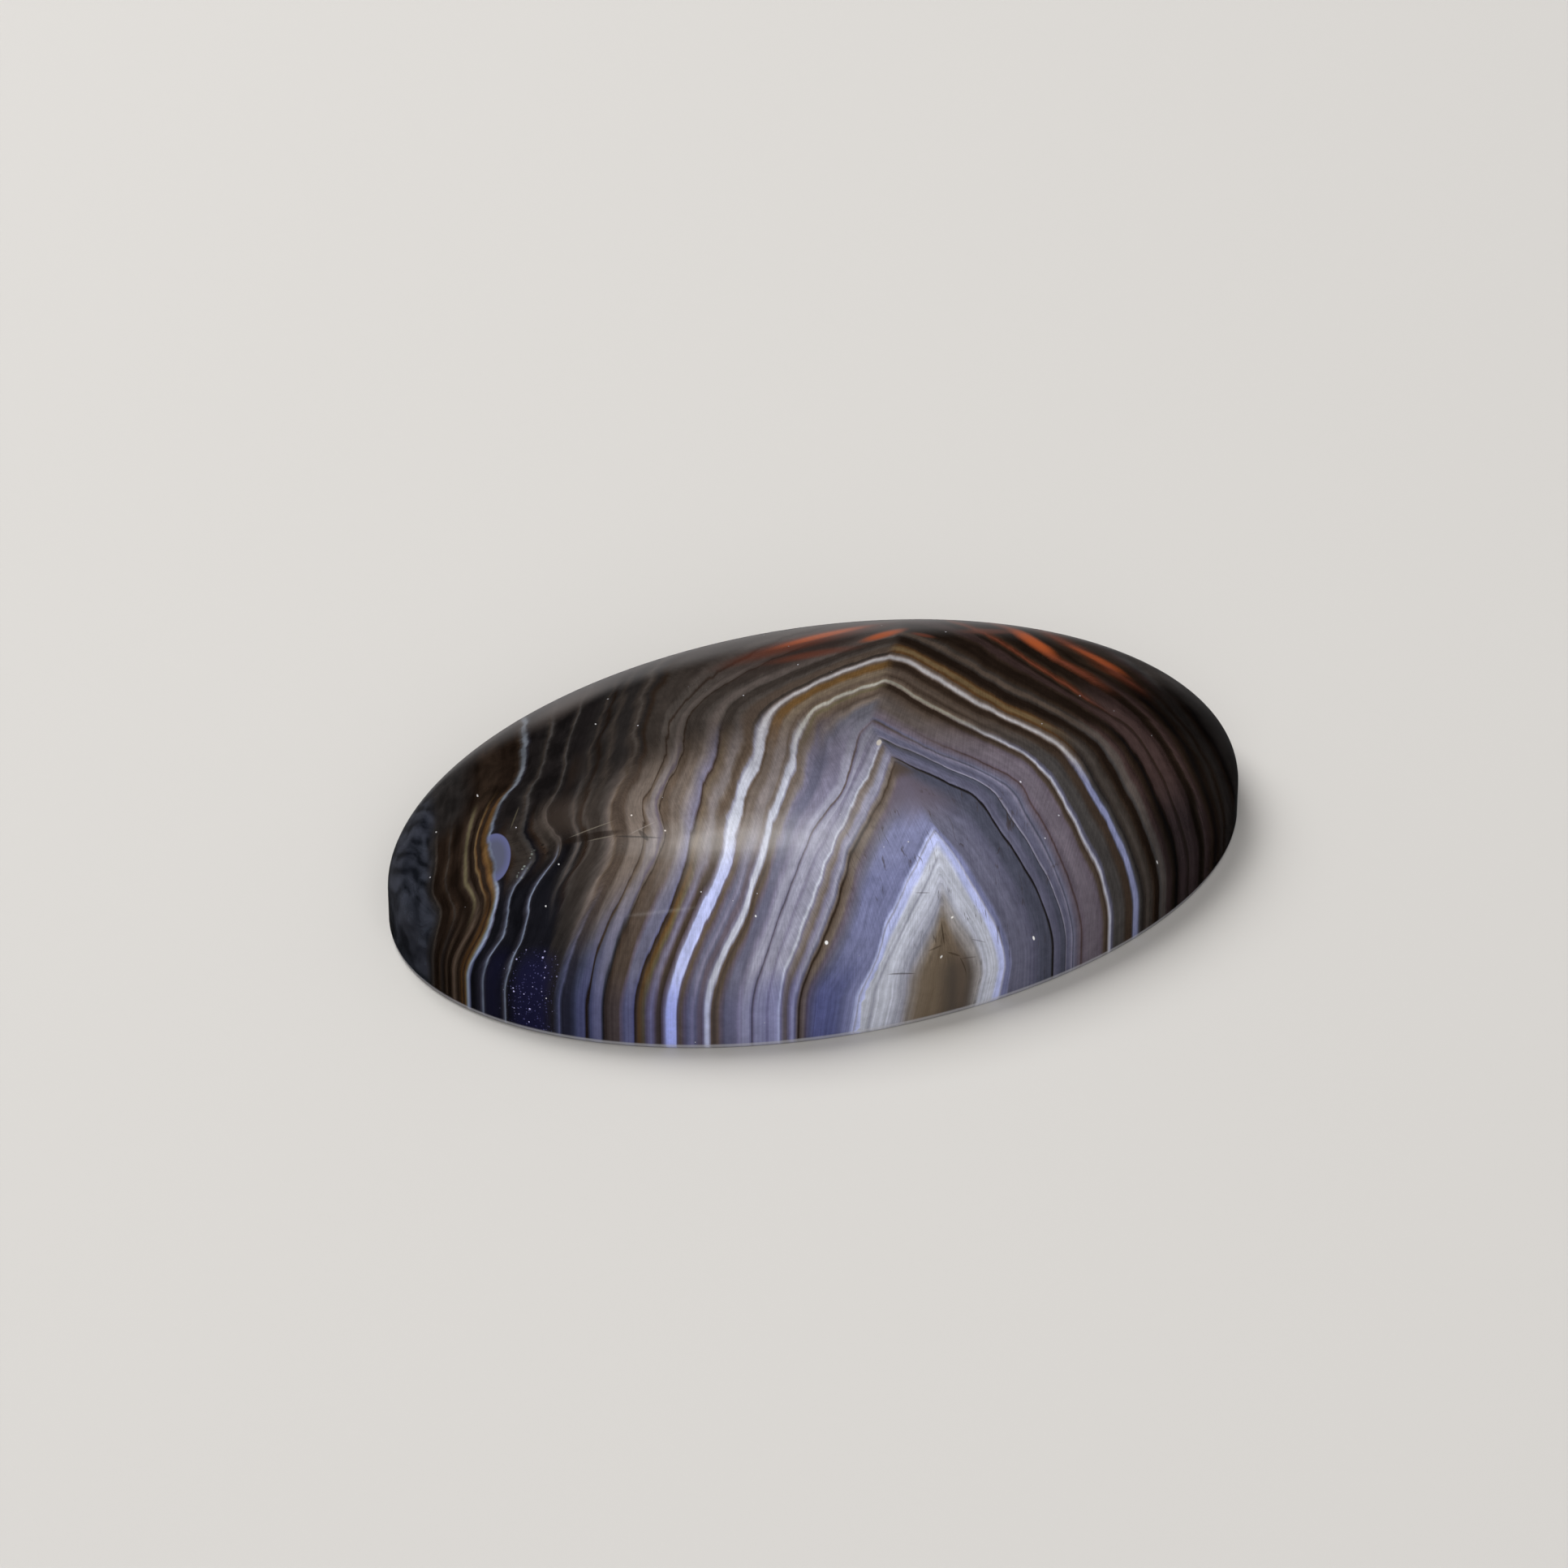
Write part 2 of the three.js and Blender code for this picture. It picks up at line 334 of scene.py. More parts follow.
REAR_LEFT_BANDS = [
    (-2.0, "tan"), (0.5, "icy"), (0.65, "icy"), (0.8, "lilac"), (0.95, "heather"), (1.6, "heather"),
    (2.1, "mauve"), (2.3, "tan"), (2.5, "bark"), (2.62, "bark"), (2.66, "fawn"), (2.72, "bark"),
    (2.8, "mauve"), (2.87, "lilac"), (3.0, "lilac"), (3.1, "fawn"), (3.18, "tan"), (3.24, "lilac"),
    (3.28, "pearl"), (3.34, "lilac"), (3.5, "fog"), (4.1, "fog"), (4.34, "mauve"), (4.38, "fog"),
    (4.43, "fog"), (4.9, "fog"), (5.08, "fawn"), (5.22, "bark"), (5.38, "tan"), (5.48, "khaki"),
    (5.56, "fawn"), (5.61, "cream"), (5.67, "cream"), (5.72, "hazel"), (5.79, "tan"), (5.9, "tan"),
    (6.05, "hazel"), (6.2, "hazel"), (6.38, "ochre"), (6.62, "ochre"), (6.76, "tan"), (6.83, "dove"),
    (6.87, "silver"), (6.96, "silver"), (7.01, "dove"), (7.06, "taupe"), (7.12, "char"), (7.2, "char"),
    (7.24, "bark"), (7.48, "bark"), (7.64, "shade"), (7.82, "char"), (8.06, "char"), (8.12, "shade"),
    (8.2, "taupe"), (8.46, "taupe"), (8.62, "shade"), (8.9, "char"), (9.32, "char"), (9.39, "umber"),
    (9.44, "shade"), (9.62, "taupe"), (9.78, "shade"), (10.0, "shade"), (10.07, "umber"),
    (10.16, "shade"), (10.3, "shade"), (10.44, "char"), (10.66, "char"), (10.84, "char"),
    (10.95, "umber"), (11.1, "soot"), (11.18, "char"), (11.25, "shade"), (11.33, "char"), (11.5, "soot"),
    (11.7, "soot"), (11.84, "char"), (12.0, "soot"), (12.1, "sepia"), (12.22, "soot"), (12.3, "char"),
    (12.38, "soot"), (12.7, "pitch"), (13.2, "pitch"), (13.32, "soot"), (13.39, "smoke"), (13.44, "char"),
    (13.52, "soot"), (13.6, "pitch"), (14.04, "pitch"), (14.12, "soot"), (14.19, "smoke"),
    (14.25, "char"), (14.34, "soot"), (14.46, "pitch"), (14.76, "pitch"), (14.83, "iron"),
    (14.89, "pewter"), (14.95, "pewter"), (15.01, "smoke"), (15.08, "umber"), (15.2, "sepia"),
    (15.5, "sepia"), (15.65, "umber"), (15.95, "umber"), (16.1, "sepia"), (16.6, "soot"), (20.0, "soot"),
]
FRONT_RIGHT_BANDS = [
    (-2.0, "tan"), (-1.35, "hazel"), (-1.1, "hazel"), (-0.9, "putty"), (-0.72, "oat"), (-0.5, "silver"),
    (-0.3, "chalk"), (-0.08, "bone"), (0.3, "bone"), (0.44, "icy"), (0.6, "icy"), (0.68, "pearl"),
    (0.72, "iris"), (0.82, "iris"), (0.95, "heather"), (1.5, "heather"), (1.9, "dusk"), (2.2, "slate"),
    (2.68, "slate"), (2.73, "soot"), (2.78, "jet"), (2.82, "heather"), (2.9, "dusk"), (3.05, "dusk"),
    (3.24, "slate"), (3.38, "slate"), (3.42, "iron"), (3.45, "pearl"), (3.49, "lilac"), (3.56, "dusk"),
    (3.85, "dusk"), (4.08, "heather"), (4.2, "lilac"), (4.28, "slate"), (4.35, "heather"), (4.6, "mauve"),
    (4.66, "rosewood"), (4.71, "mauve"), (4.85, "thistle"), (5.15, "thistle"), (5.3, "mauve"),
    (5.4, "bark"), (5.51, "walnut"), (5.56, "dove"), (5.6, "chalk"), (5.64, "pearl"), (5.68, "dusk"),
    (5.8, "smoke"), (6.2, "smoke"), (6.4, "walnut"), (6.64, "walnut"), (6.69, "slate"),
    (6.76, "larkspur"), (6.91, "larkspur"), (6.98, "slate"), (7.05, "smoke"), (7.18, "soot"),
    (7.34, "char"), (7.5, "shade"), (7.7, "char"), (7.86, "umber"), (7.98, "sepia"), (8.14, "sepia"),
    (8.26, "smoke"), (8.36, "taupe"), (8.54, "taupe"), (8.66, "rosewood"), (8.8, "plum"), (8.95, "umber"),
    (9.1, "sepia"), (9.22, "jet"), (9.32, "sepia"), (9.39, "plum"), (9.6, "rosewood"), (9.84, "rosewood"),
    (9.96, "plum"), (10.09, "umber"), (10.17, "rosewood"), (10.5, "rosewood"), (10.7, "plum"),
    (10.82, "plum"), (10.95, "sepia"), (11.12, "sepia"), (11.24, "umber"), (11.36, "rosewood"),
    (11.54, "plum"), (11.7, "umber"), (11.84, "sepia"), (12.0, "jet"), (12.24, "sepia"), (12.5, "soot"),
    (12.7, "sepia"), (12.9, "soot"), (13.2, "soot"), (13.45, "sepia"), (13.65, "jet"), (13.9, "soot"),
    (14.3, "soot"), (20.0, "jet"),
]
REAR_RIGHT_BANDS = [
    (-2.0, "bark"), (-1.2, "tan"), (-0.85, "tan"), (-0.64, "dove"), (-0.5, "pearl"), (0.0, "chalk"),
    (0.3, "chalk"), (0.44, "icy"), (0.58, "icy"), (0.7, "iris"), (0.85, "heather"), (1.5, "heather"),
    (2.0, "mauve"), (2.4, "tan"), (2.66, "bark"), (2.71, "dove"), (2.76, "char"), (2.84, "mauve"),
    (2.95, "heather"), (3.15, "dusk"), (3.36, "smoke"), (3.44, "smoke"), (3.5, "lilac"), (3.6, "dusk"),
    (3.9, "heather"), (4.2, "mauve"), (4.3, "bark"), (4.38, "dusk"), (4.46, "mauve"), (4.8, "taupe"),
    (5.0, "taupe"), (5.28, "bark"), (5.42, "umber"), (5.54, "umber"), (5.59, "fawn"), (5.63, "flax"),
    (5.68, "flax"), (5.73, "tan"), (5.8, "bark"), (5.9, "walnut"), (6.08, "bark"), (6.2, "bark"),
    (6.34, "walnut"), (6.48, "umber"), (6.66, "umber"), (6.73, "bark"), (6.79, "dove"), (6.84, "silver"),
    (6.91, "silver"), (6.98, "dove"), (7.05, "tan"), (7.12, "bark"), (7.18, "sienna"), (7.24, "sienna"),
    (7.34, "gilt"), (7.46, "gilt"), (7.56, "sienna"), (7.67, "umber"), (7.84, "sepia"), (8.06, "sepia"),
    (8.19, "char"), (8.28, "bark"), (8.38, "bark"), (8.5, "char"), (8.64, "umber"), (8.8, "sepia"),
    (9.15, "sepia"), (9.26, "umber"), (9.38, "plum"), (9.6, "plum"), (9.85, "sepia"), (9.98, "umber"),
    (10.08, "rust"), (10.16, "garnet"), (10.24, "rust"), (10.4, "umber"), (10.56, "sepia"),
    (10.84, "sepia"), (10.96, "rust"), (11.08, "garnet"), (11.18, "garnet"), (11.3, "rust"),
    (11.46, "umber"), (11.6, "sepia"), (11.84, "umber"), (12.08, "rust"), (12.22, "garnet"),
    (12.34, "garnet"), (12.46, "rust"), (12.66, "umber"), (12.9, "umber"), (13.1, "plum"),
    (13.35, "smoke"), (13.6, "char"), (13.9, "char"), (14.2, "smoke"), (14.5, "smoke"), (20.0, "soot"),
]

# Clouds that lie across the layers: middle and half-lengths in plan in millimetres, turn in degrees,
# the layers they reach, the tone, and how strongly they show. The first list is painted shade
# multiplied over the bands. The second is mostly stain in the layers, with painted light marked
# where it stands.
ALL_LAYERS = (-3.0, 21.0)
# Painted shade: darker across the middle of the dome and over the right end. Low on the front wall it is a
# darker, bluer cast, painted for light scattered blue out of the front of the stone.
PAINTED_SHADES = [
    ((-2.6, -0.9), (5.0, 2.0), -25, ALL_LAYERS, "dcd9d6", 0.95),
    ((-9.8, -8.3), (5.4, 1.1), -29, ALL_LAYERS, "a4b4ff", 0.7),
    ((-5.4, -9.5), (2.0, 0.7), -12, ALL_LAYERS, "b4bcff", 0.5),
    ((-3.4, -9.9), (1.7, 0.8), -10, (0.7, 2.6), "b4b8cc", 0.9),
    ((-11.4, -6.3), (2.2, 1.1), -36, (9.4, 12.0), "d2dcfa", 0.8),
    ((10.6, -6.9), (3.6, 1.6), 34, (7.6, 12.5), "a4b4c4", 0.8),
    ((12.7, -1.4), (3.2, 2.7), 0, ALL_LAYERS, "bcb8b6", 0.9),
]
STAINS = [
    ((1.35, -4.4), (2.0, 1.6), 0, (0.8, 2.6), "mauve", 0.8),
    ((1.4, -3.45), (0.8, 0.55), 0, (2.0, 2.7), "bark", 0.8),
    ((-9.2, -0.9), (1.7, 1.2), -30, (11.8, 14.0), "bark", 0.38),
    ((-9.2, 1.1), (1.8, 0.9), 35, (11.8, 13.3), "umber", 0.6),
    ((-0.1, -10.05), (1.3, 0.3), 0, (-2.0, 0.0), "hazel", 0.6),
    ((0.75, -10.0), (0.8, 0.25), 0, (-2.0, -0.35), "shade", 0.8),
    ((0.8, -9.75), (0.35, 0.5), 10, (-2.0, -0.5), "tan", 0.6),
    ((-13.6, -4.4), (1.1, 0.8), 0, (14.72, 15.06), "azure", 0.9),
    ((-12.5, -5.45), (1.15, 0.75), -36, (11.3, 13.6), "navy", 0.9),
    ((-13.3, -4.5), (0.9, 0.6), -36, (13.5, 14.9), "navy", 0.4),
    # A brownish-grey haze over the left of the dome towards the rear: painted reflection of the pale room
    # behind.
    ((-6.4, 6.3), (2.6, 0.9), 27, ALL_LAYERS, "taupe", 0.6),
    ((-2.3, 0.7), (0.8, 0.5), 55, (6.2, 6.6), "rust", 0.7),
    # From here on: red and orange streaks near the rear rim. They are the stone's own carnelian layers,
    # painted brighter as a glow of light shining through the thin rim.
    ((1.8, 5.2), (4.6, 1.9), 14, ALL_LAYERS, "plum", 0.5),
    ((2.0, 5.55), (3.6, 0.65), 11, ALL_LAYERS, "garnet", 0.75),
    ((2.7, 5.8), (2.1, 0.3), 11, ALL_LAYERS, "ember", 0.7),
    ((1.6, 4.15), (1.8, 0.35), -2, ALL_LAYERS, "garnet", 0.6),
    ((4.55, 4.85), (1.1, 0.3), 22, ALL_LAYERS, "ember", 0.75),
    ((5.8, 4.35), (0.5, 0.2), -55, ALL_LAYERS, "garnet", 0.8),
    ((8.2, 4.3), (1.1, 0.4), -5, ALL_LAYERS, "garnet", 0.6),
    ((9.42, 3.2), (0.4, 1.6), 3, (10.7, 11.6), "ember", 0.9),
    ((11.1, 1.7), (0.3, 1.5), 27, (11.95, 12.75), "ember", 0.45),
]

# Dust, polishing scratches, hairline cracks and small smears, with painted shadow and highlight along
# two creases: middle and half-lengths in plan in millimetres, turn in degrees, tone and strength.
FLAWS = [
    ((-3.5, -8.75), (0.07, 0.06), 0, "ffffff", 1.0),
    ((1.3, -2.1), (0.1, 0.2), -35, "c8c0b4", 0.8),
    ((5.15, -5.0), (0.035, 0.05), 0, "e8e8f0", 0.9),
    ((3.55, -9.6), (0.05, 0.028), 0, "ffffff", 1.0),
    ((-6.55, 3.6), (0.03, 0.05), 0, "e8e8e8", 0.9),
    ((-11.25, 2.5), (0.03, 0.11), -10, "d8d8d8", 0.7),
    ((-12.95, 1.95), (0.03, 0.05), 0, "d8d8d8", 0.6),
    ((-7.55, -2.0), (0.035, 0.045), 0, "f0e8e0", 0.9),
    ((-6.85, -3.2), (0.035, 0.045), 0, "f0e8e0", 0.8),
    ((-10.4, -2.65), (0.03, 0.04), 0, "e8e8e8", 0.8),
    ((-11.35, -3.85), (0.03, 0.04), 0, "e8e8e8", 0.8),
    ((-5.4, -7.35), (0.035, 0.045), 0, "f0f0f0", 0.9),
    ((0.85, -9.05), (0.06, 0.03), 15, "f4f4f0", 0.9),
    ((0.15, -9.76), (0.06, 0.02), 15, "f4f4f0", 0.7),
    ((8.95, -7.7), (0.03, 0.04), 0, "e8e8e8", 0.8),
    # Along two creases on the left flank, the sepia and soot lines below are painted shadow in the creases.
    # The pale lines beside them are partly fine scratches and partly painted highlight on their edges.
    ((-9.1, -2.15), (1.2, 0.2), -19, "sepia", 0.6),
    ((-8.9, -1.86), (0.9, 0.03), -5, "a09888", 0.3),
    ((-8.8, -2.42), (0.5, 0.03), -17, "a09888", 0.25),
    ((-10.78, 0.3), (0.62, 0.035), 53, "6a6350", 0.3),
    ((-7.45, -2.72), (0.6, 0.03), 5, "a8a098", 0.3),
    ((-7.55, -3.05), (0.1, 0.35), 10, "sepia", 0.6),
    ((-7.75, -3.0), (0.95, 0.05), -33, "soot", 0.55),
    ((-1.3, -9.82), (0.55, 0.012), -7, "walnut", 0.6),
    ((0.15, -8.24), (0.3, 0.025), -12, "walnut", 0.4),
    ((0.7, -7.55), (0.16, 0.025), 60, "walnut", 0.4),
    ((1.05, -7.2), (0.2, 0.025), 70, "walnut", 0.4),
    ((1.1, -9.84), (0.35, 0.01), 0, "walnut", 0.4),
    ((1.55, -9.62), (0.3, 0.015), -10, "walnut", 0.35),
    ((0.38, -9.35), (0.03, 0.3), -12, "umber", 0.6),
    ((0.0, -9.6), (0.3, 0.02), 5, "umber", 0.45),
    ((0.6, -9.76), (0.25, 0.02), -12, "umber", 0.5),
    ((0.88, -9.9), (0.14, 0.02), -40, "umber", 0.5),
]

agate.use_nodes = True
shade = agate.node_tree
shade.nodes.clear()

# Where the layers lie: the age of the layer and the distance along it, both in millimetres.
layers = add_node(shade, "ShaderNodeAttribute", attribute_name="growth")
layer = add_node(shade, "ShaderNodeSeparateXYZ", {0: layers.outputs["Vector"]})
place = add_node(shade, "ShaderNodeTexCoord").outputs["Object"]
place_mm = add_node(shade, "ShaderNodeVectorMath", {0: place, 3: 1 / MM}, operation="SCALE")
at = add_node(shade, "ShaderNodeSeparateXYZ", {0: place_mm})


def by_age(youngest, oldest, at_youngest, at_oldest):
    """A value that changes with the age of the layer."""
    return add_node(shade, "ShaderNodeMapRange", {0: layer.outputs[0], 1: youngest, 2: oldest,
                                                  3: at_youngest, 4: at_oldest})


# Agate layers waver by a few hundredths of a millimetre every millimetre or so along their length,
# and neighbouring layers waver together.
WAVERS_PER_MM = 0.9
WAVERS_ACROSS = 0.35
WAVER_YOUNG_MM = 0.04
WAVER_OLD_MM = 0.08
drift = add_node(shade, "ShaderNodeCombineXYZ", {0: layer.outputs[1], 1: layer.outputs[0]})
drift_squeezed = add_node(shade, "ShaderNodeVectorMath", {0: drift, 1: (1.0, WAVERS_ACROSS, 1.0)},
                          operation="MULTIPLY")
waver = add_node(shade, "ShaderNodeTexNoise", {"Vector": drift_squeezed, "Scale": WAVERS_PER_MM,
                                               "Detail": 4.0}, noise_dimensions="2D")
waver_even = add_node(shade, "ShaderNodeMapRange", {0: waver, 1: 0.25, 2: 0.75, 3: -1.0, 4: 1.0})
waver_mm = by_age(2.0, 12.0, WAVER_YOUNG_MM, WAVER_OLD_MM)
age = add_node(shade, "ShaderNodeMath", {0: waver_even, 1: waver_mm, 2: layer.outputs[0]},
               operation="MULTIPLY_ADD")

# A colour ramp holds no more stops than this.
MOST_STOPS = 32


def banded(bands):
    """The colour of each layer by its age, through as many colour ramps as the list of bands fills."""
    colour = None
    start = 0
    while start < len(bands) - 1:
        part = bands[start:start + MOST_STOPS]
        low, high = part[0][0], part[-1][0]
        along_ramp = add_node(shade, "ShaderNodeMapRange", {0: age, 1: low, 2: high})
        ramp = add_node(shade, "ShaderNodeValToRGB", {0: along_ramp})
        stops = ramp.color_ramp.elements
        while len(stops) < len(part):
            stops.new(0.5)
        for stop, (band_age, tone) in zip(stops, part):
            stop.position = (band_age - low) / (high - low)
            stop.color = linear_colour(TONES[tone])
        if colour is None:
            colour = ramp.outputs[0]
        else:
            past = add_node(shade, "ShaderNodeMath", {0: age, 1: low}, operation="GREATER_THAN")
            mix = add_node(shade, "ShaderNodeMix", {0: past, 6: colour, 7: ramp.outputs[0]},
                           data_type="RGBA")
            colour = mix.outputs[2]
        start += MOST_STOPS - 1
    return colour


def turning(nearer, farther, turn_mm, spread_mm):
    """One colour nearer the front and another farther back, changing over about the given plan height."""
    beyond = add_node(shade, "ShaderNodeMath", {0: at.outputs[1], 1: turn_mm}, operation="SUBTRACT")
    over = add_node(shade, "ShaderNodeMath", {0: beyond, 1: spread_mm}, operation="DIVIDE")
    share = add_node(shade, "ShaderNodeMapRange", {0: over, 1: -1.0, 2: 1.0},
                     interpolation_type="SMOOTHSTEP")
    mix = add_node(shade, "ShaderNodeMix", {0: share, 6: nearer, 7: farther}, data_type="RGBA")
    return mix.outputs[2]


# Towards the front the layers are paler and bluer, towards the rear browner and dimmer: partly the
# stone's own colours, and partly painted light in front and painted shade behind. The line in
# plan where they change, and how softly, depend on the age of the layer.
front_turn = by_age(11.2, 13.2, -5.1, -2.3)
front_spread = by_age(12.0, 13.4, 1.3, 0.6)
inner_turn = by_age(3.0, 7.0, -3.1, -0.55)
end_turn = by_age(14.72, 15.0, 0.6, 2.2)
rear_turn = add_node(shade, "ShaderNodeMath", {0: inner_turn, 1: end_turn}, operation="ADD")
rear_spread = by_age(12.6, 14.2, 1.35, 0.6)
left = turning(banded(FRONT_LEFT_BANDS), banded(MIDDLE_LEFT_BANDS), front_turn, front_spread)
left = turning(left, banded(REAR_LEFT_BANDS), rear_turn, rear_spread)
inner_right_turn = by_age(6.4, 6.7, -2.8, -4.7)
back_right_turn = by_age(7.05, 7.35, 0.0, 1.9)
white_right_turn = add_node(shade, "ShaderNodeMath", {0: inner_right_turn, 1: back_right_turn},
                            operation="ADD")
outer_right_turn = by_age(9.0, 11.0, 0.0, 2.5)
right_turn = add_node(shade, "ShaderNodeMath", {0: white_right_turn, 1: outer_right_turn},
                      operation="ADD")
right_spread = by_age(6.4, 6.7, 1.8, 1.0)
right = turning(banded(FRONT_RIGHT_BANDS), banded(REAR_RIGHT_BANDS), right_turn, right_spread)

# At the ridge one flank's bands pass into the other's within a fraction of a millimetre.
RIDGE_SPREAD_MM = 0.3
side = add_node(shade, "ShaderNodeMapRange", {0: layer.outputs[1], 1: -RIDGE_SPREAD_MM, 2: RIDGE_SPREAD_MM},
                interpolation_type="SMOOTHSTEP")
bands = add_node(shade, "ShaderNodeMix", {0: side, 6: left, 7: right}, data_type="RGBA")
colour = bands.outputs[2]


def streaked(along_mm, across_mm, detail, spread, darkest, lightest):
    """The colour so far with darker and lighter streaks, so long along the layer and so thick across it."""
    streak_place = add_node(shade, "ShaderNodeVectorMath", {
        0: drift, 1: (1 / along_mm, 1 / across_mm, 1.0),
    }, operation="MULTIPLY")
    streaks = add_node(shade, "ShaderNodeTexNoise", {"Vector": streak_place, "Scale": 1.0,
                                                     "Detail": detail}, noise_dimensions="2D")
    streak_tone = add_node(shade, "ShaderNodeMapRange", {0: streaks, 1: 0.5 - spread, 2: 0.5 + spread,
                                                         3: darkest, 4: lightest})
    return add_node(shade, "ShaderNodeVectorMath", {0: colour, 3: streak_tone}, operation="SCALE")


# Every band is built of finer layers, about eight to the millimetre, each a little lighter or darker,
# and most plainly inside the eye.
LAMINA_MM = 0.12
LAMINA_LENGTH_MM = 2.5
colour = streaked(LAMINA_LENGTH_MM, LAMINA_MM, 2.0, 0.2, by_age(-0.9, 2.0, 0.72, 0.91), 1.09)

# The oldest layers come and go along their length.
FAINT_MM = 0.4
FAINT_LENGTH_MM = 1.1
colour = streaked(FAINT_LENGTH_MM, FAINT_MM, 2.0, 0.15, by_age(12.8, 13.6, 0.93, 0.62), 1.1)

# The silica is cloudy on the scale of a third of a millimetre, and finely grained.
CLOUD_MM = 0.35
cloudy = add_node(shade, "ShaderNodeTexNoise", {"Vector": place_mm, "Scale": 1 / CLOUD_MM, "Detail": 6.0,
                                                "Roughness": 0.7})
cloud_tone = add_node(shade, "ShaderNodeMapRange", {0: cloudy, 1: 0.3, 2: 0.7, 3: 0.84, 4: 1.14})
colour = add_node(shade, "ShaderNodeVectorMath", {0: colour, 3: cloud_tone}, operation="SCALE")

# Quartz fibres stand across the layers, a fifteenth of a millimetre thick. They give a fine silky grain.
FIBRE_MM = 0.065
FIBRE_LENGTH_MM = 0.5
colour = streaked(FIBRE_MM, FIBRE_LENGTH_MM, 1.0, 0.2, 0.91, 1.09)

# How far out a patch ends, and how far out it starts to fade, in half-lengths. It goes right through
# the stone.
SOFT_EDGE = (1.25, 0.25)
CRISP_EDGE = (1.0, 0.6)
THROUGH_THE_STONE_MM = 1000.0


def patch(middle, halves, degrees, strength, edge):
    """An oval patch in plan, at its full strength in the middle and gone past its edge."""
    spot = add_node(shade, "ShaderNodeMapping", {
        "Vector": place_mm,
        "Location": (*middle, 0.0),
        "Rotation": (0.0, 0.0, math.radians(degrees)),
        "Scale": (halves[0] * edge[0], halves[1] * edge[0], THROUGH_THE_STONE_MM),
    }, vector_type="TEXTURE")
    within = add_node(shade, "ShaderNodeTexGradient", {0: spot}, gradient_type="SPHERICAL")
    return add_node(shade, "ShaderNodeMapRange", {0: within.outputs["Fac"], 2: 1 - edge[1] / edge[0],
                                                  4: strength}, interpolation_type="SMOOTHSTEP")


def tinted(share, tone, blend_type="MIX"):
    """The colour so far with a tone, by name, by hex code or from a node, laid over a share of it."""
    if isinstance(tone, str):
        tone = linear_colour(TONES.get(tone, tone))
    mix = add_node(shade, "ShaderNodeMix", {0: share, 6: colour, 7: tone}, data_type="RGBA",
                   blend_type=blend_type)
    return mix.outputs[2]


# A cloud that keeps to some layers is full over this share of its reach, and fades over the rest.
FULL_SHARE = 0.4
for clouds, blend_type in ((PAINTED_SHADES, "MULTIPLY"), (STAINS, "MIX")):
    for middle, halves, degrees, (youngest, oldest), tone, strength in clouds:
        share = patch(middle, halves, degrees, strength, SOFT_EDGE)
        if (youngest, oldest) != ALL_LAYERS:
            reach = (oldest - youngest) / 2
            from_middle = add_node(shade, "ShaderNodeMath", {0: age, 1: youngest + reach},
                                   operation="SUBTRACT")
            layers_off = add_node(shade, "ShaderNodeMath", {0: from_middle}, operation="ABSOLUTE")
            share = add_node(shade, "ShaderNodeMapRange", {0: layers_off, 1: reach, 2: reach * FULL_SHARE,
                                                           4: share}, interpolation_type="SMOOTHSTEP")
        colour = tinted(share, tone, blend_type)

# At the left end the layers give way to a dark blue-grey moss of tangled silica.
MOSS_MM = 1.1
MOSS_SQUEEZE = 0.55
CURL_SHARE = 0.25
MOSS_STARTS_AGE = 17.25
MOSS_FULL_AGE = 17.75
moss_place = add_node(shade, "ShaderNodeMapping", {"Vector": place_mm, "Scale": (1.0, MOSS_SQUEEZE, 1.0)})
moss = add_node(shade, "ShaderNodeTexNoise", {"Vector": moss_place, "Scale": 1 / MOSS_MM, "Detail": 4.0,
                                              "Roughness": 0.6, "Distortion": 1.6})
curl = add_node(shade, "ShaderNodeTexWave", {"Vector": moss_place, "Scale": 0.55, "Distortion": 11.0,
                                             "Detail": 2.0, "Detail Scale": 1.2})
curl_part = add_node(shade, "ShaderNodeMath", {0: curl, 1: CURL_SHARE, 2: moss}, operation="MULTIPLY_ADD")
moss_tone = add_node(shade, "ShaderNodeMapRange", {0: curl_part, 1: 0.42, 2: 0.92})
moss_colour = add_node(shade, "ShaderNodeMix", {0: moss_tone, 6: linear_colour("121419"),
                                                7: linear_colour("3a3d47")}, data_type="RGBA")
mossy = add_node(shade, "ShaderNodeMapRange", {0: age, 1: MOSS_STARTS_AGE, 2: MOSS_FULL_AGE},
                 interpolation_type="SMOOTHSTEP")
to_the_left = add_node(shade, "ShaderNodeMath", {0: at.outputs[0], 1: 0.0}, operation="LESS_THAN")
moss_share = add_node(shade, "ShaderNodeMath", {0: mossy, 1: to_the_left}, operation="MULTIPLY")
colour = tinted(moss_share, moss_colour.outputs[2])

# A half-round bud of lavender silica sits on the inner side of the last pale layer, duller in its middle.
BUD = ((-12.0, -0.92), (0.56, 1.1), -18)
BUD_GONE_AGE = 14.94
BUD_FULL_AGE = 14.8
bud = patch(*BUD, 1.0, (1.0, 0.93))
bud_rim = patch(*BUD, 1.0, (1.0, 0.5))
before_bud = add_node(shade, "ShaderNodeMapRange", {0: age, 1: BUD_GONE_AGE, 2: BUD_FULL_AGE})
bud_share = add_node(shade, "ShaderNodeMath", {0: bud, 1: before_bud}, operation="MULTIPLY")
bud_colour = add_node(shade, "ShaderNodeMix", {0: bud_rim, 6: linear_colour("5b5f86"),
                                               7: linear_colour("515468")}, data_type="RGBA")
colour = tinted(bud_share, bud_colour.outputs[2])

